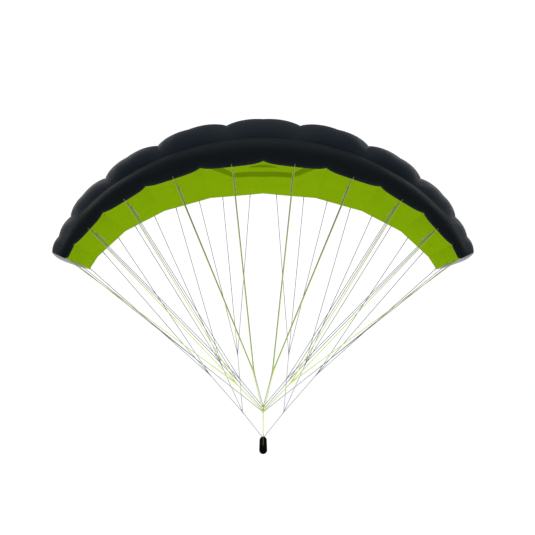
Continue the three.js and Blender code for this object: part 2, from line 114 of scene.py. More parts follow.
# Inflation between the ribs
UPPER_BULGE = np.array([0.088, 0.112, 0.121, 0.116, 0.1])
UPPER_ROUNDNESS = 0.72  # under 1, a bay rises steeply from its ribs
UPPER_FULLNESS = (0.9, 1.5)  # the same behind the crease, and where the crease has faded
NOSE_FULLNESS = 0.12  # bulge of the nose over that of the bay behind it
NOSE_ROUNDNESS = 1.5  # over 1, the nose turns softly into its seams
VALLEY_REACH = 0.35  # share of an upper panel over which this gives way to its own roundness
MIDDLE_DIP = np.array([0.15, 0.15, 0.15, 0.15, 0.8])  # over the rib in a bay's middle
LOWER_BULGE = 0.040
LOWER_SQUARENESS = 5.0  # at the front seam, where a lower panel is level over most of its width
LOWER_ROUNDNESS = 2.0  # well behind the seam
LOWER_EASE = 6  # how soon the one gives way to the other
LOWER_FADE = 1.5  # how the depth dies out towards the trailing edge
TIP_BULGE = 0.019
TIP_FULLNESS = 0.75  # under 1, it rises steeply from its edges
TIP_REAR = 1.3  # over 1, the tip panel is fullest behind its middle
TIP_NOSE = 0.3  # share of the outline's length that the nose takes up
TIP_BLUNT = 0.05  # share of the nose's curve left out on each side of its foremost point
FLAT_FROM = 0.8  # share of the chord from where the skins draw apart for the hem

# Points in a panel: across a whole bay, and along the section
ACROSS_STEPS = 40
UPPER_STEPS = 64
NOSE_STEPS = 28
LOWER_STEPS = 56
TIP_STEPS = (64, 16)
RIB_STEPS = (24, 32, 6)  # along the nose, along the body and across
RIB_SPAN = (0.04, 0.9)  # part of the section's length that a rib fills
SHARP_ANGLE = 60.0  # degrees between faces that are not shaded as one
TIP_SEED = 100
RIB_SEED = 0

# Gathers beside the seams: how far apart, how far from the seam and how high on each cloth
PUCKER_PITCHES = (0.026, 0.043, 0.071)
PUCKER_RANGE = (0.5, 1)
PUCKER_REACH = 0.015
Puckers = namedtuple("Puckers", "sides front back")
UPPER_PUCKERS = Puckers(0.0002, 0.0003, 0.0006)
NOSE_PUCKERS = Puckers(0.0002, 0.0003, 0.0002)
LOWER_PUCKERS = Puckers(0.0003, 0.0003, 0.0006)
TIP_PUCKERS = Puckers(0.0003, 0.0006, 0.0006)
NO_PUCKERS = Puckers(0, 0, 0)

# Soft troughs in a panel: from and to as shares across and along it, depth and width
Trough = namedtuple("Trough", "start end depth width")
UPPER_TROUGHS = (
    Trough((0.02, 0.03), (0.30, 0.22), 0.0016, 0.020),
    Trough((0.98, 0.04), (0.74, 0.19), 0.0014, 0.018),
    Trough((0.03, 0.62), (0.22, 0.98), 0.0012, 0.022),
    Trough((0.96, 0.70), (0.83, 0.97), 0.0011, 0.020),
)
LOWER_TROUGHS = (
    Trough((0.50, 0.36), (0.20, 0.62), 0.0011, 0.016),
    Trough((0.50, 0.35), (0.84, 0.55), 0.0009, 0.018),
    Trough((0.50, 0.66), (0.24, 0.93), 0.0010, 0.016),
    Trough((0.50, 0.66), (0.79, 0.97), 0.0012, 0.017),
)

# Lines
Gauge = namedtuple("Gauge", "main branch")
LEADER_RADIUS = 0.0021
GREEN_GAUGE = Gauge(0.0020, 0.0020)  # radii below and above a fork
GREY_GAUGE = Gauge(0.00155, 0.0017)
LINE_SIDES = 8
KNOT_RADIUS = 0.007
MIDDLE_KNOT_RADIUS = 0.0049
KNOT_STEPS = 60
KNOT_TURN = 0.99  # share of the closed curve
KNOT_HEIGHT = 1.2
SPLICE_SWELL = 1.08  # radius of a splice over that of its line
SPLICE_LENGTH = 0.055
SPLICE_MOST = 0.25  # as a share of its line
SPLICE_TAPER = 0.018
LOOP_LENGTH = 0.016  # of the sewn loop at a line's end
LOOP_WIDTH = 0.003
LOOP_STEPS = 14
LOOP_TAPER = 1.25  # over 1, the loop is wide at its far side
LOOP_CORD = 0.8  # its radius over that of its line
LOOP_NECK = 0.93  # share of its length where the line starts
FRONT_ROW = -0.17  # a share of the nose, ahead of the seam
MIDDLE_ROW = 0.07
REAR_ROW = 0.25
TIP_ROWS = (0.17, 0.45)
BRAKE_ROW = 0.985
TIP_INSET = 0.02
LEADER_FOOT = -0.214
BRAKE_FOOT = (0.006, 0.21)
LEADER_KNOT = (0.0, -0.205, 0.2015)
MIDDLE_KNOT = (0.0, -0.203, 0.229)
OUTER_KNOT = (0.0, -0.204, 0.214)  # on the line between the two
Fork = namedtuple("Fork", "place rows bays")
FRONT_FORKS = (
    Fork((0.053, -0.234, 0.416), (FRONT_ROW,), (0.5, 1.5)),
    Fork((0.1485, -0.219, 0.3575), (FRONT_ROW,), (2.5, 3.5, TIP)),
)
MIDDLE_FORKS = (
    Fork((0.050, -0.182, 0.4135), (MIDDLE_ROW,), (0.5, 1.5)),
    Fork((0.0495, -0.138, 0.4115), (REAR_ROW,), (0.5, 1.5)),
    Fork((0.1305, -0.144, 0.3785), (REAR_ROW,), (2.5, 3.5)),
)
OUTER_FORK = Fork((0.146, -0.179, 0.377), (MIDDLE_ROW,), (2.5, 3.5))
TIP_FORK = Fork((0.3235, -0.128, 0.447), TIP_ROWS, (TIP,))
BRAKE_FORK = (0.1235, 0.267, 0.161)
BRAKE_FORKS = (
    Fork((0.1565, 0.329, 0.506), (BRAKE_ROW,), (0.25, 0.775, 1.25)),
    Fork((0.2555, 0.309, 0.4435), (BRAKE_ROW,), (1.75, 2.25, 2.75)),
    Fork((0.3235, 0.298, 0.383), (BRAKE_ROW,), (3.25, 3.81, TIP)),
)

# Tapes, tabs and stitching
TAPE_WIDTH = 0.011
TAPE_THICKNESS = 0.0006
TAPE_REACH = 0.74  # share of the chord that a load tape covers
TAPE_STEPS = 60
TAPE_START = 0.6  # in steps of the panel behind the front seam
TAPE_STITCH = 0.25  # share of its half width from the edge to a stitch row
TAPE_GAP = GAP / 4
TAB_WIDTH = 0.004
TAB_DROP = 0.013
# Half of a folded tab: places along the chord, and drops
TAB_HALF = ((-0.0091, 0.0002), (-0.007, 0.0004), (-0.00175, 0.01105), (0, TAB_DROP))
STITCH_PITCH = 0.006
STITCH_LENGTH = 0.0042
STITCH_WIDTH = 0.0009
STITCH_ROUNDS = 1  # how often a stitch's faces are divided
SEAM_OFFSET = 0.005  # of a stitch row from its seam
HEM_OFFSETS = (0.005, 0.013)

# Doubled cloth on the middle of the lower skin, and a lens of painted shade behind the front seam's
# middle, for the shaded inside of an air intake: shares of the chord, and places in bays
BAND_FRONT = 0.185
BAND_BACK = 0.345
BAND_BOW = 0.1  # how much further back the band lies at mid span
BAND_EDGE = 0.006
BAND_ENDS = (0.65, 0.85)  # where the two edges of its arms meet the front seam
# The lens is painted shade, for the shaded inside of an air intake
LENS_PLACE = 0.06
LENS_BOW = 0.07
LENS_HALF = (0.25, 0.044)  # across and along
LENS_EDGE = 0.6  # where its edge starts to fade, outwards to 1
BOW_POWER = 2.4  # both lie straight where the panels turn up to the rib between them

# Bar
BAR_RADIUS = 0.0218
BAR_REACH = 0.225
CAP_LENGTH = 0.062
BAR_SIDES = 64
BAR_ROUND = 0.0025
ROUND_STEPS = 6
CAP_ANGLE = 84  # degrees up the end's dome to its last ring
CAP_STEPS = 14
GROOVES = 19
GROOVE_REACH = 0.9  # share of the grip that has grooves
GROOVE_HALF = 0.002
GROOVE_DEPTH = 0.0005

# Colours, linear
NAVY = (0.0046, 0.0072, 0.0106)
BLACK = (0.0050, 0.0065, 0.0077)
LIME = (0.162, 0.278, 0.0018)
# The next tone darkens the doubled cloth and paints the shade in the intake lens
BAND_AND_SHADE_TONE = (0.59, 0.61, 0.6)  # doubled cloth over single cloth
PALE_GREY = (0.19, 0.205, 0.218)
WHITE = (0.78, 0.79, 0.80)
TAPE_GREEN = (0.21, 0.30, 0.045)
TAB_GREY = (0.10, 0.12, 0.05)
LINE_GREEN = (0.50, 0.68, 0.06)
LINE_GREY = (0.213, 0.23, 0.253)
GREEN_FLECK = (0.25, 0.34, 0.03)
GREY_FLECK = (0.3834, 0.414, 0.4554)
# The next two colours are painted shade on the lines
OLIVE_SHADE = (0.02, 0.025, 0.012)
GREY_SHADE = (0.0213, 0.023, 0.0253)
THREAD_BLACK = (0.0055, 0.00715, 0.00847)
FOAM_BLACK = (0.0030, 0.0034, 0.0036)
RUBBER_BLACK = (0.0022, 0.0026, 0.0028)

# Painted shade on the lines, where they run up under the canopy and where the leader lies on
# the bar: from and to where along a line's map, and how much of which colour
BRANCH_START = 2.0  # where the map of a line above a fork starts, past the end of any below
LineShade = namedtuple("LineShade", "start end share colour")
GREEN_LINE_SHADE = LineShade(BRANCH_START + 0.45, BRANCH_START + 1.0, 0.45, OLIVE_SHADE)
GREY_LINE_SHADE = LineShade(BRANCH_START, BRANCH_START + 0.3, 0.25, GREY_SHADE)
BRAKE_LINE_SHADE = LineShade(BRANCH_START, BRANCH_START + 0.4, 0.85, GREY_SHADE)
LEADER_LINE_SHADE = LineShade(0.075, 0.045, 0.93, OLIVE_SHADE)

# Looks. A cloud is a noise and the two shares of a colour that it runs between, a sheen is
# roughness and specular level, and a bump is in metres, with its strength where that isn't 1
Cloud = namedtuple("Cloud", "scale detail low high")
Cloth = namedtuple("Cloth", "colour roughness specular crumple")
CLOTHS = {
    "upper": Cloth(NAVY, 0.6, 0.016, 0.06),
    "nose": Cloth(BLACK, 0.5, 0.006, 0.1),
    "lower": Cloth(LIME, 0.7, 0.0, 0.25),
    "tip": Cloth(PALE_GREY, 0.55, 0.1, 0.2),
    "rib": Cloth(WHITE, 0.6, 0.1, 0.1),
}
CLOTH_CLOUD = Cloud(7.0, 3.0, 0.9, 1.1)
CLOUD_ROUGHNESS = 0.12  # how much roughness changes with the cloud
CLOTH_FIBRES = Cloud(900.0, 2.0, 0.8, 1.2)
FIBRE_SHARE = 0.25
CRUMPLE_NOISE = (38.0, 4.0, 0.55)
CLOTH_BUMP = 0.001
RIPSTOP_PITCH = 0.006
RIPSTOP_LINE = 0.0009
RIPSTOP_SHARE = 0.3
RIPSTOP_TONE = 1.35
RIPSTOP_RISE = 0.08
WEB_PITCH = 0.0006
WEB_EDGES = (0.0001, 0.0005)
WEB_CLOUD = Cloud(40.0, 3.0, 0.85, 1.12)
WEB_SHARE = 0.3
WEB_TONE = 0.7
WEB_BUMP = 0.0002
WEB_SHEEN = (0.75, 0.03)
THREADS = {
    "dark": (THREAD_BLACK, "nose_cloth"),
    "lime": (LIME, "lower_cloth"),
    "pale": (PALE_GREY, "tip_cloth"),
}
THREAD_CLOUD = Cloud(600.0, 2.0, 0.75, 1.2)
THREAD_BUMP = 0.0002
THREAD_SHEEN = (0.6, 0.01)
BRAIDS = {
    "lime": (LINE_GREEN, GREEN_FLECK, GREEN_LINE_SHADE, "green_line"),
    "grey": (LINE_GREY, GREY_FLECK, GREY_LINE_SHADE, "grey_line"),
    "leader": (LINE_GREEN, GREEN_FLECK, LEADER_LINE_SHADE, "green_line"),
    "brake": (LINE_GREY, GREY_FLECK, BRAKE_LINE_SHADE, "grey_line"),
}
BRAID_TURNS = 2
BRAID_PITCH = 0.005
BRAID_EDGE = 0.6
BRAID_TONES = (0.78, 1.15)
BRAID_BUMP = 0.0003
BRAID_SHEEN = (0.6, 0.05)
FLECK_NOISE = (420.0, 1.0)
FLECK_EDGES = (0.6, 0.68)
FLECK_SHARE = 0.5
PORE_SCALE = 900.0
PORE_EDGES = (0.1, 0.55)
PORE_TONE = 0.55
PORE_BUMP = (0.0003, 0.7)
WEAR_LEVELS = (0.3, 0.7)
FOAM_CLOUD = Cloud(30.0, 4.0, 0.75, 1.5)
FOAM_ROUGHNESS = (0.78, 0.62)
RUBBER_CLOUD = Cloud(45.0, 3.0, 0.8, 1.4)
RUBBER_GRAIN = (1500.0, 2.0)
RUBBER_BUMP = (0.0001, 0.5)
RUBBER_ROUGHNESS = (0.36, 0.5)
FLOOR_CLOUD = Cloud(0.4, 3.0, 0.93, 0.96)
FLOOR_SHEEN = (0.9, 0.1)


# Shape of the canopy

Section = namedtuple("Section", "origin out along chord depth span")


def arc_to(bay):
    """Distance along the arch from mid span to a place in bays."""
    whole = np.minimum(np.floor(bay), OUTER_BAY).astype(int)
    return BAY_STARTS[whole] + (bay - whole) * BAY_WIDTHS[whole]


HALF_SPAN = float(arc_to(np.array(TIP)))


def arch_angle(arc):
    """Angle of the arch below level."""
    share = arc / HALF_SPAN
    return np.radians(ARCH_EVEN * share + ARCH_TIP * share**ARCH_TIP_POWER)


def vectors(x, y, z):
    return np.stack(np.broadcast_arrays(x, y, z), axis=-1)


def unit(vector):
    return vector / np.linalg.norm(vector, axis=-1, keepdims=True)


def section_at(bay):
    """Section at signed places in bays: its origin on the front seam's arch and its own axes."""
    bay = np.asarray(bay, float)
    side = np.where(bay < 0, -1.0, 1.0)
    arc = arc_to(np.abs(bay))
    share = arc / HALF_SPAN
    steps = arch_angle(arc[..., None] * (np.arange(ARCH_STEPS) + 0.5) / ARCH_STEPS)
    x = side * arc * np.cos(steps).mean(-1)
    z = SEAM_HEIGHT - arc * np.sin(steps).mean(-1)
    lean = np.radians(LEAN) * np.sin(np.pi / 2 * share / LEAN_PLACE) ** LEAN_POWER
    near_tip = share**TIP_POWER
    angle = arch_angle(arc) + lean * (1 - near_tip)
    return Section(
        vectors(x, SEAM_FRONT + SWEEP * share**2, z),
        vectors(side * np.sin(angle), 0.0, np.cos(angle)),
        vectors(np.cos(angle), 0.0, -side * np.sin(angle)),
        CHORD * (1 - CHORD_LOSS * share**CHORD_POWER),
        DEPTH * (1 - DEPTH_LOSS * share**DEPTH_POWER + TIP_DEPTH * near_tip),
        share,
    )


def section_point(section, back, up):
    """Point that far behind the seam and that far over the arch."""
    point = section.origin + section.out * np.asarray(up)[..., None]
    return point + vectors(0.0, back, 0.0)


def between(first, second, share):
    return first + (second - first) * share


def smoothstep(share, start, end):
    part = np.clip((share - start) / (end - start), 0, 1)
    return part * part * (3 - 2 * part)


def lower_bay(bay):
    """The lower panel at a place: its start and width along the arch, and the share across it."""
    first = np.minimum(np.floor(np.abs(bay)), OUTER_BAY)
    start = arc_to(first)
    width = arc_to(np.minimum(first + 1, TIP)) - start
    return start, width, (arc_to(np.abs(bay)) - start) / width


def flat_drop(bay):
    """How far the straight line across a lower panel lies under the arch."""
    start, width, share = lower_bay(bay)
    bend = arch_angle(start + width) - arch_angle(start)
    return share * (1 - share) * width * bend / 2


def lower_lobe(bay, back=0.0):
    """How far a lower panel hangs: 0 at its sides, most at the seam and none at the trailing edge."""
    _, width, share = lower_bay(bay)
    front = 1 - np.asarray(back)
    power = between(LOWER_ROUNDNESS, LOWER_SQUARENESS, front**LOWER_EASE)
    return LOWER_BULGE * width * (1 - np.abs(2 * share - 1) ** power) * front**LOWER_FADE


def upper_lobe(bay, roundness):
    """Bay between two loaded ribs: 0 at the ribs, with a slight dip over the rib in its middle."""
    place = np.abs(bay) + 0.5
    first = np.minimum(np.floor(place), OUTER_BAY).astype(int)
    share = np.clip(place - first, 0, 1)
    inner = arc_to(np.abs(first - 0.5))
    width = arc_to(first + 0.5) - np.where(first == 0, -inner, inner)
    dip = MIDDLE_DIP[first]
    single = (4 * share * (1 - share)) ** roundness
    double = np.abs(np.sin(2 * np.pi * share))
    return between(single, double, dip) * width * (1 - dip / 2) * UPPER_BULGE[first]


def hem_rise(share):
    """How far each skin stands off from the trailing edge's middle plane."""
    return (CLOTH + GAP / 2) * smoothstep(share, FLAT_FROM, 1)


def bezier(curve, share):
    """Points and unit tangents of a cubic curve."""
    a, b, c, d = (np.asarray(point, float) for point in curve)
    t = np.asarray(share, float)[..., None]
    point = (1 - t) ** 3 * a + 3 * (1 - t) ** 2 * t * b + 3 * (1 - t) * t**2 * c + t**3 * d
    way = (1 - t) ** 2 * (b - a) + 2 * (1 - t) * t * (c - b) + t**2 * (d - c)
    return point, unit(way)


def crease_fade(section):
    """How far the crease has died out: 0 at mid span and 1 at the tip."""
    return smoothstep(section.span, *CREASE_FADE)


def faded_handle(handles, section):
    return between(*handles, crease_fade(section)[..., None])


def lifted(section, point, way, lift):
    """Distance behind the seam and height of a curve's point, lifted off the curve."""
    back = point[..., 0] * section.chord - way[..., 1] * lift
    return back, point[..., 1] * section.depth + way[..., 0] * lift


def nose_skin(bay, share):
    section = section_at(bay)
    handle = faded_handle(NOSE_HANDLES, section)
    point, way = bezier(((0, 0), NOSE_FRONT, handle, CREASE), share)
    lift = NOSE_FULLNESS * upper_lobe(bay, NOSE_ROUNDNESS) * np.sin(np.pi * share)
    back, up = lifted(section, point, way, lift)
    hang = (flat_drop(bay) + lower_lobe(bay)) * (1 - smoothstep(share, 0, 1))
    return section_point(section, back, up - hang)


def upper_skin(bay, share):
    section = section_at(bay)
    handle = faded_handle(CROWN_HANDLES, section)
    crown, crown_way = bezier((CREASE, handle, CROWN_TOP, PEAK), np.clip(2 * share, 0, 1))
    aft_share = np.clip(2 * share - 1, 0, 1)
    aft, aft_way = bezier(AFT_CURVE, aft_share)
    is_aft = (np.asarray(share) > 0.5)[..., None]
    point = np.where(is_aft, aft, crown)
    fullness = between(*UPPER_FULLNESS, crease_fade(section))
    roundness = between(NOSE_ROUNDNESS, UPPER_ROUNDNESS, smoothstep(share, 0, VALLEY_REACH))
    lift = upper_lobe(bay, roundness) * np.sin(np.pi * np.clip(share, 0, 1)) ** fullness
    back, up = lifted(section, point, np.where(is_aft, aft_way, crown_way), lift)
    drop = flat_drop(bay) * aft_share**2
    return section_point(section, back, up - drop + hem_rise(point[..., 0]))


def lower_skin(bay, share):
    section = section_at(bay)
    hang = flat_drop(bay) + lower_lobe(bay, share)
    return section_point(section, share * section.chord, -hang - hem_rise(share))


def outline_points(bay, length):
    """Lower and upper points of a section's outline, from the nose back to the trailing edge."""
    half = 0.5 - TIP_BLUNT
    nose = half * np.clip(length / TIP_NOSE, 0, 1)
    body = np.clip((length - TIP_NOSE) / (1 - TIP_NOSE), 0, 1)
    front = (length < TIP_NOSE)[..., None]
    lower = np.where(front, nose_skin(bay, half - nose), lower_skin(bay, body))
    upper = np.where(front, nose_skin(bay, 1 - half + nose), upper_skin(bay, body))
    return lower, upper


def tip_skin(side):
    def skin(length, across):
        lower, upper = outline_points(np.array(side * TIP), length)
        swell = np.sin(np.pi * across) * np.sin(np.pi * length**TIP_REAR)
        reach = CLOTH + GAP + TIP_BULGE * np.clip(swell, 0, 1) ** TIP_FULLNESS
        outwards = side * section_at(np.array(side * TIP)).along
        return between(lower, upper, across[..., None]) + outwards * reach[..., None]

    return skin


def rib_skin(bay):
    def skin(length, across):
        lower, upper = outline_points(np.array(bay, float), length)
        height = np.linalg.norm(upper - lower, axis=-1)
        inset = np.minimum(RIB_INSET / height, RIB_INSET_MOST)
        return between(lower, upper, between(inset, 1 - inset, across)[..., None])

    return skin


# Meshes

class Parts:
    """Points, faces and maps of the face corners, gathered into one mesh."""

    def __init__(self):
        self.points, self.faces, self.maps = [], [], {}

    def add(self, points, faces, maps):
        start = len(self.points)
        self.points += points.tolist()
        self.faces += [[start + index for index in face] for face in faces]
        for name, corners in maps.items():
            self.maps.setdefault(name, []).append(corners)

    def sheet(self, outer, inner, turn, maps):
        """Adds a closed sheet between two grids of points, with maps that are grids too."""
        columns, rows = outer.shape[:2]
        index = np.arange(columns * rows).reshape(columns, rows)
        ring = np.concatenate([index[:, 0], index[-1, 1:], index[-2::-1, -1], index[0, -2:0:-1]])
        low = ring + index.size
        square = [index[:-1, :-1], index[1:, :-1], index[1:, 1:], index[:-1, 1:]]
        top = np.stack(square, -1).reshape(-1, 4)
        base = top[:, [0, 3, 2, 1]] + index.size
        rim = np.stack([ring, low, np.roll(low, -1), np.roll(ring, -1)], -1)
        faces = np.concatenate([top, base, rim])[:, ::turn]
        points = np.concatenate([outer.reshape(-1, 3), inner.reshape(-1, 3)])
        flat = {name: np.tile(grid.reshape(-1, 2), (2, 1)) for name, grid in maps.items()}
        corners = {name: values[faces.ravel()] for name, values in flat.items()}
        self.add(points, faces.tolist(), corners)

    def loft(self, map_name, rings, along, closed=False, tips=None):
        """Adds a skin through rings of points, mapped once around and by along. It closes on
        itself, or has flat ends, or ends in two tips on the Y axis."""
        sides = rings.shape[1]
        points = rings.reshape(-1, 3)
        index = np.arange(len(points)).reshape(-1, sides)
        if closed:
            index = np.concatenate([index, index[:1]])
            along = np.append(along, along[-1] + along[1] - along[0])
        near = np.roll(index, -1, axis=1)
        faces = np.stack([index[:-1], near[:-1], near[1:], index[1:]], -1).reshape(-1, 4).tolist()
        around = (np.arange(sides)[:, None] + (0, 1, 1, 0)) / sides
        places = np.stack([along[:-1], along[:-1], along[1:], along[1:]], -1)
        corners = [grid_map(around, places[:, None])]
        if tips is not None:
            faces += [[len(points), b, a] for a, b in zip(index[0].tolist(), near[0].tolist())]
            faces += [[a, b, len(points) + 1] for a, b in zip(index[-1].tolist(), near[-1].tolist())]
            points = np.concatenate([points, tips])
            corners.append(grid_map(around[:, [0, 1, 0]], (tips[0][1], along[0], along[0])))
            corners.append(grid_map(around[:, [0, 1, 0]], (along[-1], along[-1], tips[1][1])))
        elif not closed:
            faces += [index[0, ::-1].tolist(), index[-1].tolist()]
            corners += [np.tile((0.5, end), (sides, 1)) for end in (along[0], along[-1])]
        self.add(points, faces, {map_name: np.concatenate(corners)})

    def mesh(self):
        mesh = bpy.data.meshes.new("parts")
        mesh.from_pydata(self.points, [], self.faces)
        for name, corners in self.maps.items():
            layer = mesh.uv_layers.new(name=name)
            layer.data.foreach_set("uv", np.concatenate(corners).astype(np.float32).ravel())
        return mesh


def grid_map(u, v):
    return np.stack(np.broadcast_arrays(u, v), -1).reshape(-1, 2)


def new_object(name, data):
    made = bpy.data.objects.new(name, data)
    bpy.context.scene.collection.objects.link(made)
    return made


def finished(name, mesh, material):
    """Object of a mesh, smooth between its sharp edges and all of one material."""
    mesh.name = name
    mesh.materials.clear()
    mesh.materials.append(material)
    mesh.shade_smooth()
    mesh.set_sharp_from_angle(angle=math.radians(SHARP_ANGLE))
    return new_object(name, mesh)


def fastened(name, mesh, finish, *nodes):
    """Piece that rides on the body, takes its finish's material and stands for its nodes."""
    piece = finished(name, mesh, finish.material)
    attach(piece, BODY)
    if nodes:
        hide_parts(*nodes)
    return piece


Finish = namedtuple("Finish", "material slot")


# Cloth panels

Skin = namedtuple("Skin", "shape puckers troughs turn")
SKINS = {
    "upper": (Skin(upper_skin, UPPER_PUCKERS, UPPER_TROUGHS, 1), UPPER_STEPS),
    "nose": (Skin(nose_skin, NOSE_PUCKERS, (), 1), NOSE_STEPS),
    "lower": (Skin(lower_skin, LOWER_PUCKERS, LOWER_TROUGHS, -1), LOWER_STEPS),
}
Panel = namedtuple("Panel", "grid normal")


def eased(start, end, steps):
    """Places that lie closer together towards both ends, where the cloth turns into its seams."""
    return between(start, end, (1 - np.cos(np.linspace(0, np.pi, steps + 1))) / 2)


def path_length(grid, axis):
    """Distance of each point from the first edge, along an axis of the grid."""
    step = np.linalg.norm(np.diff(grid, axis=axis), axis=-1)
    start = np.zeros_like(np.take(step, [0], axis=axis))
    return np.concatenate([start, np.cumsum(step, axis=axis)], axis=axis)


def lengths_map(grid):
    return np.stack([path_length(grid, 0), path_length(grid, 1)], -1)


def grid_normal(grid):
    return unit(np.cross(np.gradient(grid, axis=0), np.gradient(grid, axis=1)))


def gathers(distance, along, height, random):
    """Small folds across a seam: 0 on it, highest near it and uneven along it."""
    wave = np.zeros_like(along)
    for pitch in PUCKER_PITCHES:
        wave += random.uniform(*PUCKER_RANGE) * np.sin(2 * np.pi * (along / pitch + random.random()))
    reach = distance / PUCKER_REACH
    return height * wave * reach * np.exp(1 - reach)


def trough_depth(trough, places, size):
    """Depth of a soft crease from one place in a panel to another."""
    start = np.array(trough.start) * size
    way = np.array(trough.end) * size - start
    share = np.clip(((places - start) @ way) / (way @ way), 0, 1)
    off = np.linalg.norm(places - start - share[..., None] * way, axis=-1)
    return trough.depth * np.exp(-((off / trough.width) ** 2)) * np.sin(np.pi * share)


def draw_in(grid):
    """Draws the rim of a grid in by half the seam's gap."""
    edges = (grid[0], grid[-1], grid[:, 0], grid[:, -1])
    inside = (grid[1], grid[-2], grid[:, 1], grid[:, -2])
    for edge, inner in zip(edges, inside):
        edge += unit(inner - edge) * SEAM_GAP / 2


def cloth_panel(node, skin, across, along, finish, seed):
    """One panel cut, sewn and blown up: a thin closed sheet under the skin's outer face."""
    random = np.random.default_rng(seed)
    places = np.broadcast_arrays(across[:, None], along[None, :])
    smooth = skin.shape(*places)
    left, front = path_length(smooth, 0), path_length(smooth, 1)
    right, back = left[-1:] - left, front[:, -1:] - front
    size = (left[-1].max(), front[:, -1].max())
    normal = skin.turn * grid_normal(smooth)
    wrinkle = np.zeros_like(left)
    for distance in (left, right):
        wrinkle += gathers(distance, front, skin.puckers.sides, random)
    wrinkle += gathers(front, left, skin.puckers.front, random)
    wrinkle += gathers(back, left, skin.puckers.back, random)
    for trough in skin.troughs:
        wrinkle -= trough_depth(trough, np.stack([left, front], -1), size)
    wrinkle *= smoothstep(np.minimum.reduce([left, right, front, back]), 0, PUCKER_REACH / 2)
    outer = smooth + normal * wrinkle[..., None]
    for row in (0, -1):
        outer[:, row] -= normal[:, row] * SEAM_DEPTH
    draw_in(outer)
    maps = {"cloth": np.stack([left - left[-1:] / 2, front], -1), "place": np.stack(places, -1)}
    parts = Parts()
    parts.sheet(outer, outer - normal * CLOTH, skin.turn, maps)
    piece = fastened(node + "_panel", parts.mesh(), finish, node)
    return Panel(outer, normal)


def panel_spans(name):
    """Name and ends, in bays, of each panel of a skin."""
    if name == "lower":
        spans = []
        cuts = [(bay, min(bay + 1, TIP)) for bay in range(OUTER_BAY + 1)]
    else:
        spans = [(f"{name}_middle", -0.5, 0.5)]
        cuts = [(bay - 0.5, bay + 0.5) for bay in range(1, OUTER_BAY + 1)]
    for number, (start, end) in enumerate(cuts, 1):
        spans += [(f"{name}_right_{number}", start, end), (f"{name}_left_{number}", -end, -start)]
    return spans


def make_skins(finishes):
    """The three skins, each a dict of panels by name."""
    panels, seed = {}, 0
    for name, (skin, steps) in SKINS.items():
        panels[name] = {}
        for node, start, end in panel_spans(name):
            seed += 1
            across = eased(start, end, round(ACROSS_STEPS * (end - start)))
            cut = skin if end - start == 1 else skin._replace(troughs=())
            along = eased(0, 1, steps)
            panels[name][node] = cloth_panel(node, cut, across, along, finishes[name], seed)
    return panels


def make_tips(finish):
    tips = []
    for name, side in SIDES.items():
        skin = Skin(tip_skin(side), TIP_PUCKERS, (), side)
        lengths, across = (eased(0, 1, steps) for steps in TIP_STEPS)
        tips.append(cloth_panel(f"tip_{name}", skin, lengths, across, finish, TIP_SEED + side))
    return tips


def make_ribs(finish):
    places = [("rib_middle", 0.0)]
    for number in range(1, 2 * OUTER_BAY + 1):
        places += [(f"rib_right_{number}", number / 2), (f"rib_left_{number}", -number / 2)]
    nose = np.linspace(RIB_SPAN[0], TIP_NOSE, RIB_STEPS[0], endpoint=False)
    lengths = np.concatenate([nose, np.linspace(TIP_NOSE, RIB_SPAN[1], RIB_STEPS[1])])
    across = np.linspace(0, 1, RIB_STEPS[2] + 1)
    for name, bay in places:
        cloth_panel(name, Skin(rib_skin(bay), NO_PUCKERS, (), 1), lengths, across, finish, RIB_SEED)


# Tapes and stitch rows

def on_panel(panel, i, j):
    """Points and normals of a panel's face at fractional places in its grid."""
    i, j = np.broadcast_arrays(i, j)
    i0 = np.clip(np.floor(i).astype(int), 0, panel.grid.shape[0] - 2)
    j0 = np.clip(np.floor(j).astype(int), 0, panel.grid.shape[1] - 2)
    a, b = (i - i0)[..., None], (j - j0)[..., None]
    found = []
    for values in panel:
        near = between(values[i0, j0], values[i0 + 1, j0], a)
        far = between(values[i0, j0 + 1], values[i0 + 1, j0 + 1], a)
        found.append(between(near, far, b))
    return found


def tape_strip(panel):
    """Grid of places for a load tape down the middle of a lower panel."""
    middle = (panel.grid.shape[0] - 1) / 2
    column = int(middle)
    spacing = np.linalg.norm(panel.grid[column + 1] - panel.grid[column], axis=-1)
    last = np.arccos(1 - 2 * TAPE_REACH) / np.pi * LOWER_STEPS
    j = np.linspace(TAPE_START, last, TAPE_STEPS)
    half = TAPE_WIDTH / 2 / np.interp(j, np.arange(len(spacing)), spacing)
    return middle + half * np.array([[-1], [0], [1]]), j[None, :]


def make_load_tapes(lower, finish):
    """A tape over each loaded rib on the lower skin, all as one piece. Returns the stitch rows."""
    parts, rows = Parts(), []
    for name, panel in lower.items():
        if name.endswith(str(OUTER_BAY + 1)):
            continue
        points, normals = on_panel(panel, *tape_strip(panel))
        outer = points + normals * (TAPE_THICKNESS + TAPE_GAP)
        parts.sheet(outer, points + normals * TAPE_GAP, -1, {"cloth": lengths_map(outer)})
        for edge in (outer[0], outer[2]):
            rows.append((between(edge, outer[1], TAPE_STITCH), normals[1]))
    fastened("load_tapes", parts.mesh(), finish)
    return rows


def row_beside(panel, edge, offset):
    """Line on a panel's face at a distance from its front or back edge, with the face's normals."""
    if edge == "back":
        panel = Panel(*(values[:, ::-1] for values in panel))
    distance = path_length(panel.grid, 1)
    j = np.array([np.interp(offset, line, np.arange(len(line))) for line in distance])
    return on_panel(panel, np.arange(len(distance)), j)


# Node trees

def put(tree, socket, value):
    """Links a socket to another one, or sets it to a value."""
    if isinstance(value, bpy.types.NodeSocket):
        tree.links.new(value, socket)
    elif socket.type == "RGBA":
        socket.default_value = (*value, 1.0)
    else:
        socket.default_value = value


def add_node(tree, kind, values=None, **settings):
    """Adds a node, with its settings and the sockets or values that go into its inputs."""
    node = tree.nodes.new(kind)
    for key, setting in settings.items():
        setattr(node, key, setting)
    for key, value in (values or {}).items():
        put(tree, node.inputs[key], value)
    return node


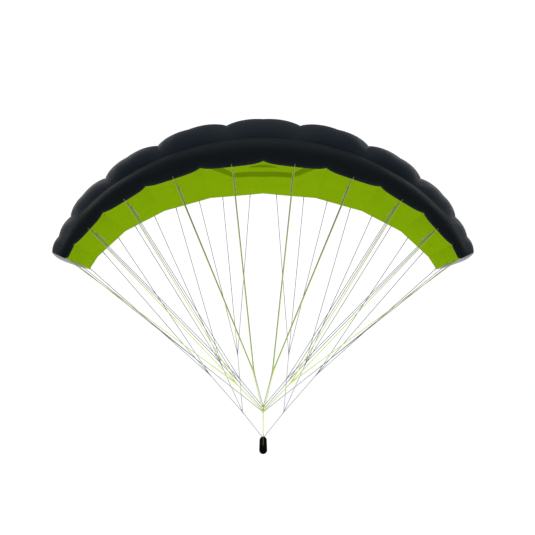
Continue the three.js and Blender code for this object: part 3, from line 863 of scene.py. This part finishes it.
def new_tree(name, **sockets):
    """Node tree with a mesh going in and out and named inputs. Returns the inputs too."""
    tree = bpy.data.node_groups.new(name, "GeometryNodeTree")
    sockets = {"Geometry": "Geometry", **sockets, "Size": "Vector", "Finish": "Material"}
    for label, kind in sockets.items():
        tree.interface.new_socket(label, in_out="INPUT", socket_type="NodeSocket" + kind)
    tree.interface.new_socket("Geometry", in_out="OUTPUT", socket_type="NodeSocketGeometry")
    return tree, tree.nodes.new("NodeGroupInput").outputs


def vector_attribute(tree, name):
    node = add_node(tree, "GeometryNodeInputNamedAttribute", {"Name": name}, data_type="FLOAT_VECTOR")
    return node.outputs["Attribute"]


def end_tree(tree, given, points, sample, along):
    """Puts a sample of the given size at each point, its X axis along a vector and its Z axis
    turned outward."""
    turn = {}
    for axis, pivot, way in (("X", "AUTO", along), ("Z", "X", vector_attribute(tree, "outward"))):
        turn["Vector"] = way
        node = add_node(tree, "FunctionNodeAlignRotationToVector", turn, axis=axis, pivot_axis=pivot)
        turn = {"Rotation": node.outputs[0]}
    values = {"Points": points, "Instance": sample, "Scale": given["Size"], **turn}
    made = add_node(tree, "GeometryNodeInstanceOnPoints", values)
    for kind in ("RealizeInstances", "SetShadeSmooth", "SetMaterial"):
        made = add_node(tree, "GeometryNode" + kind, {"Geometry": made.outputs[0]})
    put(tree, made.inputs["Material"], given["Finish"])
    add_node(tree, "NodeGroupOutput", {"Geometry": made.outputs[0]})
    return tree


def stitch_tree():
    """Lays thread stitches along rows, flat on the cloth."""
    tree, given = new_tree("stitches", Pitch="Float")
    curve = add_node(tree, "GeometryNodeMeshToCurve", {"Mesh": given["Geometry"]})
    values = {"Curve": curve.outputs[0], "Length": given["Pitch"]}
    even = add_node(tree, "GeometryNodeResampleCurve", values, mode="LENGTH")
    values = {"Radius": 0.5, "Subdivisions": STITCH_ROUNDS}  # one across, for Size to scale
    bead = add_node(tree, "GeometryNodeMeshIcoSphere", values)
    along = tree.nodes.new("GeometryNodeInputTangent")
    return end_tree(tree, given, even.outputs[0], bead.outputs[0], along.outputs[0])


def tab_tree():
    """Hangs a tab at each point, along the line's pull."""
    tree, given = new_tree("tabs", Tab="Object")
    tab = add_node(tree, "GeometryNodeObjectInfo", {"Object": given["Tab"]}).outputs["Geometry"]
    return end_tree(tree, given, given["Geometry"], tab, vector_attribute(tree, "pull"))


def make_repeats(name, tree, points, edges, attributes, inputs, finish):
    """Plain mesh piece that a tree makes from points, edges and vectors at the points."""
    mesh = bpy.data.meshes.new(name + "_guide")
    mesh.from_pydata(points.tolist(), edges, [])
    for key, values in attributes.items():
        layer = mesh.attributes.new(key, "FLOAT_VECTOR", "POINT")
        layer.data.foreach_set("vector", values.astype(np.float32).ravel())
    guide = new_object(mesh.name, mesh)
    modifier = guide.modifiers.new("repeat", "NODES")
    modifier.node_group = tree
    inputs = {**inputs, "Finish": finish.material}
    for item in tree.interface.items_tree:
        if item.name in inputs:
            modifier[item.identifier] = inputs[item.name]
    bpy.context.view_layer.update()
    depsgraph = bpy.context.evaluated_depsgraph_get()
    result = bpy.data.meshes.new_from_object(guide.evaluated_get(depsgraph))
    guide.modifiers.remove(modifier)
    bpy.data.objects.remove(guide)
    fastened(name, result, finish)


def make_stitches(name, rows, tree, finish):
    points, outward = (np.concatenate(values) for values in zip(*rows))
    ends = set(np.cumsum([len(row) for row, _ in rows]).tolist())
    edges = [(i - 1, i) for i in range(1, len(points)) if i not in ends]
    inputs = {"Pitch": STITCH_PITCH, "Size": (STITCH_LENGTH, STITCH_WIDTH, STITCH_WIDTH)}
    make_repeats(name, tree, points, edges, {"outward": outward}, inputs, finish)


def make_seams(skins, tips, tape_rows):
    """Rows of stitches beside the seams and along the hems."""
    rows = {"dark": [], "lime": tape_rows, "pale": []}
    for skin, colour in {"upper": "dark", "nose": "dark", "lower": "lime"}.items():
        for panel in skins[skin].values():
            rows[colour].append(row_beside(panel, "front", SEAM_OFFSET))
            if skin != "nose":
                rows[colour] += [row_beside(panel, "back", offset) for offset in HEM_OFFSETS]
    for panel in tips:
        rows["pale"] += [row_beside(panel, edge, SEAM_OFFSET) for edge in ("front", "back")]
    tree = stitch_tree()
    for name, (colour, slot) in THREADS.items():
        finish = Finish(thread(f"{name}_thread", colour), slot)
        make_stitches(f"{name}_stitches", rows[name], tree, finish)


# Lines

def tube(parts, path, radii, closed=False, begin=0.0):
    """Adds a round tube along a path, mapped in metres along it from begin."""
    if closed:
        ways = unit(np.roll(path, -1, 0) - np.roll(path, 1, 0))
    else:
        ways = unit(np.gradient(path, axis=0))
    side, sides = np.cross(ways[0], OFF_AXIS), []
    for way in ways:
        side = unit(side - way * (side @ way))
        sides.append(side)
    others = np.cross(ways, sides)[:, None]
    angles = 2 * np.pi * np.arange(LINE_SIDES)[:, None] / LINE_SIDES
    ring = np.array(sides)[:, None] * np.cos(angles) + others * np.sin(angles)
    rings = path[:, None] + ring * np.broadcast_to(radii, len(path))[:, None, None]
    parts.loft("braid", rings, begin + path_length(path, 0), closed)


def sewn_loop(parts, tip, way, radius, begin):
    """Loop at a line's end: its far side is at the tip, and it runs along way to its neck."""
    angle = 2 * np.pi * np.arange(LOOP_STEPS) / LOOP_STEPS
    across = unit(np.cross(way, CHORDWISE))
    along = (1 - np.cos(angle)) / 2
    width = LOOP_WIDTH / 2 * np.sin(angle) * (LOOP_TAPER - along)
    path = tip + LOOP_LENGTH * along[:, None] * way + width[:, None] * across
    tube(parts, path, radius * LOOP_CORD, True, begin)


def sewn_line(parts, start, end, radius, loops=(True, True), begin=0.0):
    """Straight line with a splice, and where asked a sewn loop, at each end, mapped from begin."""
    way = unit(end - start)
    whole = np.linalg.norm(end - start)
    for at, tip, facing, place in zip(loops, (start, end), (way, -way), (0, whole)):
        if at:
            sewn_loop(parts, tip, facing, radius, begin + place)
    first, last = (LOOP_LENGTH * LOOP_NECK * at for at in loops)
    length = whole - first - last
    splice = min(SPLICE_LENGTH, SPLICE_MOST * length)
    rise = np.array([0, splice - min(SPLICE_TAPER, splice / 2), splice])
    places = first + np.concatenate([rise, [length / 2], length - rise[::-1]])
    swell = np.array([SPLICE_SWELL, SPLICE_SWELL, 1, 1, 1, SPLICE_SWELL, SPLICE_SWELL])
    tube(parts, start + places[:, None] * way, radius * swell, begin=begin)


def knot(parts, centre, size, radius, begin=0.0):
    """Overhand knot drawn up tight, mapped from begin."""
    t = np.linspace(0, 2 * np.pi * KNOT_TURN, KNOT_STEPS)
    x = np.sin(t) + 2 * np.sin(2 * t)
    y = np.cos(t) - 2 * np.cos(2 * t)
    path = np.stack([x, -np.sin(3 * t) * KNOT_HEIGHT, y], -1) / 3 * (size - radius)
    tube(parts, centre + path, radius, begin=begin)


def line_root(bay, row):
    """Where a line's tab is sewn to the canopy."""
    place = np.array(math.copysign(min(abs(bay), TIP - TIP_INSET), bay))
    return nose_skin(place, np.array(-row)) if row < 0 else lower_skin(place, np.array(row))


def forked_lines(parts, tabs, forks, root, side, gauge):
    """Main lines from a root to their forks, and from each fork the lines up to the canopy."""
    for fork in forks:
        centre = np.array(fork.place) * (side, 1, 1)
        sewn_line(parts, root, centre, gauge.main, (False, True))
        for bay, row in itertools.product(fork.bays, fork.rows):
            top = line_root(side * bay, row)
            pull = unit(centre - top)
            if bay < TIP:
                tabs.append((top, pull))
                top = top + pull * TAB_DROP
            sewn_line(parts, centre, top, gauge.branch, begin=BRANCH_START)


def knot_lines(node, tabs, forks, side, gauge, finish):
    """Lines that start together at the leader's knot and run to their forks."""
    parts = Parts()
    knot_place = np.array(LEADER_KNOT)
    middle = np.mean([fork.place for fork in forks], axis=0) * (side, 1, 1)
    root = knot_place + unit(middle - knot_place) * KNOT_RADIUS
    forked_lines(parts, tabs, forks, root, side, gauge)
    fastened(node + "_braid", parts.mesh(), finish, node)


def make_lines():
    """All the lines. Returns the roots and pulls of their tabs."""
    tabs = []
    finishes = {
        name: Finish(braid(f"{name}_braid", *looks), slot) for name, (*looks, slot) in BRAIDS.items()
    }
    leader_knot, middle_knot, outer_knot = np.array([LEADER_KNOT, MIDDLE_KNOT, OUTER_KNOT])
    for name, side in SIDES.items():
        knot_lines(f"front_lines_{name}", tabs, FRONT_FORKS, side, GREEN_GAUGE, finishes["lime"])
        knot_lines(f"tip_lines_{name}", tabs, (TIP_FORK,), side, GREY_GAUGE, finishes["grey"])
    parts = Parts()
    foot = leader_knot + (0, 0, KNOT_RADIUS)
    sewn_line(parts, foot, middle_knot, GREY_GAUGE.main, (False, False))
    knot(parts, middle_knot, MIDDLE_KNOT_RADIUS, GREY_GAUGE.main)
    for side in SIDES.values():
        forked_lines(parts, tabs, MIDDLE_FORKS, middle_knot, side, GREY_GAUGE)
        forked_lines(parts, tabs, (OUTER_FORK,), outer_knot, side, GREY_GAUGE)
    fastened("middle_lines_braid", parts.mesh(), finishes["grey"], "middle_lines")
    for name, side in SIDES.items():
        parts = Parts()
        fork = np.array(BRAKE_FORK) * (side, 1, 1)
        x, y = BRAKE_FOOT
        foot = np.array([side * x, y, math.sqrt((BAR_RADIUS + GAP) ** 2 - x**2)])
        sewn_line(parts, foot, fork, GREY_GAUGE.main, (False, True))
        forked_lines(parts, tabs, BRAKE_FORKS, fork, side, GREY_GAUGE)
        node = f"brake_lines_{name}"
        fastened(node + "_braid", parts.mesh(), finishes["brake"], node)
    parts = Parts()
    foot = np.array([0, LEADER_FOOT, BAR_RADIUS + GAP])
    sewn_line(parts, foot, leader_knot, LEADER_RADIUS, (False, False))
    # The knot's map starts where the painted shade on the leader's foot ends
    knot(parts, leader_knot, KNOT_RADIUS, LEADER_RADIUS, LEADER_LINE_SHADE.start)
    fastened("leader_line_braid", parts.mesh(), finishes["leader"], "leader_line")
    return tabs


def make_tabs(tabs, finish):
    """A folded tape tab, hung at the top of each line."""
    fold = np.array(TAB_HALF + tuple((-place, drop) for place, drop in TAB_HALF[-2::-1]))
    inner = vectors(fold[:, 1], np.array([[-0.5], [0.5]]), fold[:, 0])
    outer = inner + (TAPE_THICKNESS, 0, 0)
    size = (1, TAB_WIDTH, 1)
    parts = Parts()
    parts.sheet(outer, inner, 1, {"cloth": lengths_map(outer * size)})
    sample = new_object("tab_sample", parts.mesh())
    roots, pulls = np.array(tabs).swapaxes(0, 1)
    attributes = {"pull": pulls, "outward": np.tile(CHORDWISE, (len(roots), 1))}
    make_repeats("line_tabs", tab_tree(), roots, [], attributes, {"Tab": sample, "Size": size}, finish)
    bpy.data.objects.remove(sample)


# Bar

def make_turned(node, profile, finish):
    """A piece turned about the bar's axis from (radius, place) points, mapped in metres."""
    (_, first), *body, (_, last) = profile
    radius, place = np.array(body).T
    angle = 2 * np.pi * np.arange(BAR_SIDES) / BAR_SIDES
    ring = vectors(np.sin(angle), 0.0, np.cos(angle))
    rings = ring * radius[:, None, None] + vectors(0.0, place, 0.0)[:, None]
    parts = Parts()
    parts.loft("skin", rings, place, tips=((0, first, 0), (0, last, 0)))
    fastened(node + "_body", parts.mesh(), finish, node)


def round_edge(radius, place, bend, start, end, steps):
    """Points of a rounded edge, with its centre at (radius, place), from one angle to another."""
    angles = np.radians(np.linspace(start, end, steps + 1))
    return [(radius + bend * math.cos(a), place + bend * math.sin(a)) for a in angles]


def make_bar(grip_finish, cap_finish):
    joint = BAR_REACH - CAP_LENGTH
    flat = BAR_RADIUS - BAR_ROUND
    grip = [(0, -joint)] + round_edge(flat, BAR_ROUND - joint, BAR_ROUND, -90, 0, ROUND_STEPS)
    for place in np.linspace(-GROOVE_REACH, GROOVE_REACH, GROOVES) * joint:
        grip += [(BAR_RADIUS, place - GROOVE_HALF), (BAR_RADIUS - GROOVE_DEPTH, place)]
        grip.append((BAR_RADIUS, place + GROOVE_HALF))
    grip += round_edge(flat, joint - BAR_ROUND, BAR_ROUND, 0, 90, ROUND_STEPS) + [(0, joint)]
    make_turned("bar_grip", grip, grip_finish)
    start = joint + GAP
    cap = [(0, start)] + round_edge(flat, start + BAR_ROUND, BAR_ROUND, -90, 0, ROUND_STEPS)
    cap += round_edge(0, BAR_REACH, BAR_RADIUS, 0, CAP_ANGLE, CAP_STEPS) + [(0, BAR_REACH + BAR_RADIUS)]
    make_turned("bar_cap_rear", cap, cap_finish)
    front = [(radius, -place) for radius, place in reversed(cap)]
    make_turned("bar_cap_front", front, cap_finish)


# Materials

def shade(colour, share):
    return tuple(share * channel for channel in colour)


class Shader:
    """Node tree of one material."""

    def __init__(self, name):
        self.material = bpy.data.materials.new(name)
        self.material.use_nodes = True
        self.tree = self.material.node_tree
        self.surface = self.tree.nodes["Principled BSDF"]

    def add(self, kind, values=None, **settings):
        return add_node(self.tree, "ShaderNode" + kind, values, **settings)

    def math(self, operation, *values):
        return self.add("Math", dict(enumerate(values)), operation=operation).outputs[0]

    def ramp(self, value, start, end, low=0.0, high=1.0, kind="SMOOTHSTEP"):
        """Smooth or straight, clamped change of a value between two levels."""
        values = dict(enumerate((value, start, end, low, high)))
        return self.add("MapRange", values, interpolation_type=kind).outputs[0]

    def mix(self, share, first, second, blend="MIX"):
        values = {0: share, 6: first, 7: second}
        return self.add("Mix", values, data_type="RGBA", blend_type=blend).outputs[2]

    def noise(self, vector, scale, detail, roughness=0.5):
        values = {"Vector": vector, "Scale": scale, "Detail": detail, "Roughness": roughness}
        return self.add("TexNoise", values).outputs[0]

    def clouded(self, vector, colour, cloud):
        """A noise, and a colour between the two shades that the noise takes it to."""
        value = self.noise(vector, cloud.scale, cloud.detail)
        return value, self.mix(value, shade(colour, cloud.low), shade(colour, cloud.high))

    def map(self, name):
        return self.add("UVMap", uv_map=name).outputs[0]

    def split(self, vector):
        return self.add("SeparateXYZ", {0: vector}).outputs[:2]

    def object_place(self):
        return self.add("TexCoord").outputs["Object"]

    def bump(self, height, distance, strength=1.0):
        values = {"Height": height, "Distance": distance, "Strength": strength}
        put(self.tree, self.surface.inputs["Normal"], self.add("Bump", values).outputs[0])

    def finish(self, tone, roughness, specular):
        values = {"Base Color": tone, "Roughness": roughness, "Specular IOR Level": specular}
        for key, value in values.items():
            put(self.tree, self.surface.inputs[key], value)
        return self.material


def ripstop_lines(shader, u, v):
    """Thicker yarns that cross every few millimetres."""
    crossing = []
    for value in (u, v):
        off = shader.math("PINGPONG", value, RIPSTOP_PITCH / 2)
        crossing.append(shader.ramp(off, 0, RIPSTOP_LINE, 1, 0))
    return shader.math("MAXIMUM", *crossing)


def band_and_intake_shade(shader):
    """Mask of doubled cloth on the lower skin, a band across the middle bays with its two arms that run
    forward to the front seam, and of painted shade in a small lens behind the seam's middle, for the
    shaded inside of an air intake."""
    bay, share = shader.split(shader.map("place"))
    bay = shader.math("ABSOLUTE", bay)
    bow = shader.math("POWER", shader.ramp(bay, 0, 0.5, 1, 0, "LINEAR"), BOW_POWER)
    edges = []
    for place, end in zip((BAND_FRONT, BAND_BACK), BAND_ENDS):
        arm = shader.ramp(bay, 0.5, end, place, -2 * BAND_EDGE, "LINEAR")
        edge = shader.math("MULTIPLY_ADD", bow, BAND_BOW, arm)
        edges.append(shader.math("SUBTRACT", share, edge))
    behind = shader.ramp(edges[0], -BAND_EDGE, BAND_EDGE)
    ahead = shader.ramp(edges[1], -BAND_EDGE, BAND_EDGE, 1, 0)
    # The lens: painted shade for the shaded inside of an air intake
    across = shader.math("DIVIDE", bay, LENS_HALF[0])
    middle = shader.math("MULTIPLY_ADD", shader.math("MULTIPLY", bow, bow), LENS_BOW, LENS_PLACE)
    along = shader.math("DIVIDE", shader.math("SUBTRACT", share, middle), LENS_HALF[1])
    off = [shader.math("MULTIPLY", value, value) for value in (across, along)]
    lens = shader.ramp(shader.math("ADD", *off), LENS_EDGE, 1.0, 1, 0)
    return shader.math("MAXIMUM", shader.math("MULTIPLY", behind, ahead), lens)


def ripstop(name, cloth, band_and_shade):
    """Coated ripstop cloth: yarn grid, cloudy tone and a slight crumple."""
    shader = Shader(name)
    place = shader.map("cloth")
    yarns = ripstop_lines(shader, *shader.split(place))
    cloud, tone = shader.clouded(shader.object_place(), cloth.colour, CLOTH_CLOUD)
    _, fibres = shader.clouded(place, cloth.colour, CLOTH_FIBRES)
    tone = shader.mix(FIBRE_SHARE, tone, fibres)
    thick = shader.math("MULTIPLY", yarns, RIPSTOP_SHARE)
    tone = shader.mix(thick, tone, shade(cloth.colour, RIPSTOP_TONE))
    if band_and_shade:
        # Darker doubled cloth, and painted shade in the intake lens
        tone = shader.mix(band_and_intake_shade(shader), tone, BAND_AND_SHADE_TONE, "MULTIPLY")
    even = cloth.roughness - CLOUD_ROUGHNESS / 2
    rough = shader.math("MULTIPLY_ADD", cloud, CLOUD_ROUGHNESS, even)
    folds = shader.math("MULTIPLY", shader.noise(place, *CRUMPLE_NOISE), cloth.crumple)
    shader.bump(shader.math("MULTIPLY_ADD", yarns, RIPSTOP_RISE, folds), CLOTH_BUMP)
    return shader.finish(tone, rough, cloth.specular)


def webbing(name, colour):
    """Woven tape with ribs across it."""
    shader = Shader(name)
    _, along = shader.split(shader.map("cloth"))
    ribs = shader.ramp(shader.math("PINGPONG", along, WEB_PITCH), *WEB_EDGES)
    _, tone = shader.clouded(shader.object_place(), colour, WEB_CLOUD)
    tone = shader.mix(shader.math("MULTIPLY", ribs, WEB_SHARE), tone, shade(colour, WEB_TONE))
    shader.bump(shader.math("MULTIPLY", ribs, -1.0), WEB_BUMP)
    return shader.finish(tone, *WEB_SHEEN)


def thread(name, colour):
    shader = Shader(name)
    cloud, tone = shader.clouded(shader.object_place(), colour, THREAD_CLOUD)
    shader.bump(cloud, THREAD_BUMP)
    return shader.finish(tone, *THREAD_SHEEN)


def braid(name, colour, fleck, line_shade):
    """Braided line: strands that cross in both directions, darker where shade is painted on it."""
    shader = Shader(name)
    around, along = shader.split(shader.map("braid"))
    turns = shader.math("MULTIPLY", around, BRAID_TURNS * math.tau)
    rise = shader.math("MULTIPLY", along, math.tau / BRAID_PITCH)
    left = shader.math("SINE", shader.math("ADD", turns, rise))
    right = shader.math("SINE", shader.math("SUBTRACT", turns, rise))
    strands = shader.ramp(shader.math("MULTIPLY", left, right), -BRAID_EDGE, BRAID_EDGE)
    tone = shader.mix(strands, *(shade(colour, share) for share in BRAID_TONES))
    spots = shader.ramp(shader.noise(shader.object_place(), *FLECK_NOISE), *FLECK_EDGES)
    tone = shader.mix(shader.math("MULTIPLY", spots, FLECK_SHARE), tone, fleck)
    # Painted shade along part of the line
    shade_share = shader.ramp(along, line_shade.start, line_shade.end, 0.0, line_shade.share)
    tone = shader.mix(shade_share, tone, line_shade.colour)
    shader.bump(strands, BRAID_BUMP)
    return shader.finish(tone, *BRAID_SHEEN)


def foam(name, colour):
    """Closed-cell grip foam: fine pores and a cloudy, worn tone."""
    shader = Shader(name)
    place = shader.object_place()
    cells = shader.add("TexVoronoi", {"Vector": place, "Scale": PORE_SCALE})
    pores = shader.ramp(cells.outputs["Distance"], *PORE_EDGES)
    worn, tone = shader.clouded(place, colour, FOAM_CLOUD)
    tone = shader.mix(pores, shade(colour, PORE_TONE), tone)
    shader.bump(pores, *PORE_BUMP)
    return shader.finish(tone, shader.ramp(worn, *WEAR_LEVELS, *FOAM_ROUGHNESS, "LINEAR"), 0.0)


def rubber(name, colour):
    """Moulded rubber: smooth, with a fine matt grain."""
    shader = Shader(name)
    place = shader.object_place()
    worn, tone = shader.clouded(place, colour, RUBBER_CLOUD)
    shader.bump(shader.noise(place, *RUBBER_GRAIN), *RUBBER_BUMP)
    return shader.finish(tone, shader.ramp(worn, *WEAR_LEVELS, *RUBBER_ROUGHNESS, "LINEAR"), 0.0)


# Camera, light and floor

def aimed(name, data, place, target):
    made = new_object(name, data)
    made.location = place
    made.rotation_euler = (Vector(target) - Vector(place)).to_track_quat("-Z", "Y").to_euler()
    return made


def make_camera():
    data = bpy.data.cameras.new("camera")
    data.lens = CAMERA_LENS
    data.sensor_width = CAMERA_SENSOR
    data.clip_end = CAMERA_REACH
    pitch, yaw = math.radians(CAMERA_PITCH), math.radians(CAMERA_YAW)
    way = Vector((math.sin(yaw) * math.cos(pitch), math.cos(yaw) * math.cos(pitch), math.sin(pitch)))
    bpy.context.scene.camera = aimed("camera", data, CAMERA_PLACE, Vector(CAMERA_PLACE) + way)


def make_light():
    world = bpy.data.worlds.new("studio")
    world.use_nodes = True
    background = world.node_tree.nodes["Background"]
    background.inputs["Color"].default_value = (1.0, 1.0, 1.0, 1.0)
    background.inputs["Strength"].default_value = WORLD_STRENGTH
    bpy.context.scene.world = world
    bpy.context.scene.view_settings.view_transform = "Standard"
    for name, light in LIGHTS.items():
        data = bpy.data.lights.new(name, "AREA")
        data.size = light.size
        data.energy = light.power
        aimed(name, data, light.place, light.target)


def make_floor():
    shader = Shader("pale_floor")
    _, tone = shader.clouded(shader.object_place(), FLOOR_COLOUR, FLOOR_CLOUD)
    reach, height = FLOOR_REACH, FLOOR_HEIGHT
    sides = ((-reach, -reach), (reach, -reach), (reach, reach), (-reach, reach))
    mesh = bpy.data.meshes.new("floor")
    mesh.from_pydata([(x, y, height) for x, y in sides], [], [(0, 1, 2, 3)])
    finished("floor", mesh, shader.finish(tone, *FLOOR_SHEEN))


# Whole part

def make_wing():
    cloths = {}
    for name, cloth in CLOTHS.items():
        cloths[name] = Finish(ripstop(f"{name}_ripstop", cloth, name == "lower"), f"{name}_cloth")
    skins = make_skins(cloths)
    tips = make_tips(cloths["tip"])
    make_ribs(cloths["rib"])
    tape = Finish(webbing("load_tape", TAPE_GREEN), "lower_cloth")
    tape_rows = make_load_tapes(skins["lower"], tape)
    make_seams(skins, tips, tape_rows)
    make_tabs(make_lines(), Finish(webbing("tab_tape", TAB_GREY), "green_line"))
    grip = Finish(foam("grip_foam", FOAM_BLACK), "grip_foam")
    caps = Finish(rubber("cap_rubber", RUBBER_BLACK), "cap_rubber")
    make_bar(grip, caps)


make_camera()
make_light()
make_floor()
make_wing()
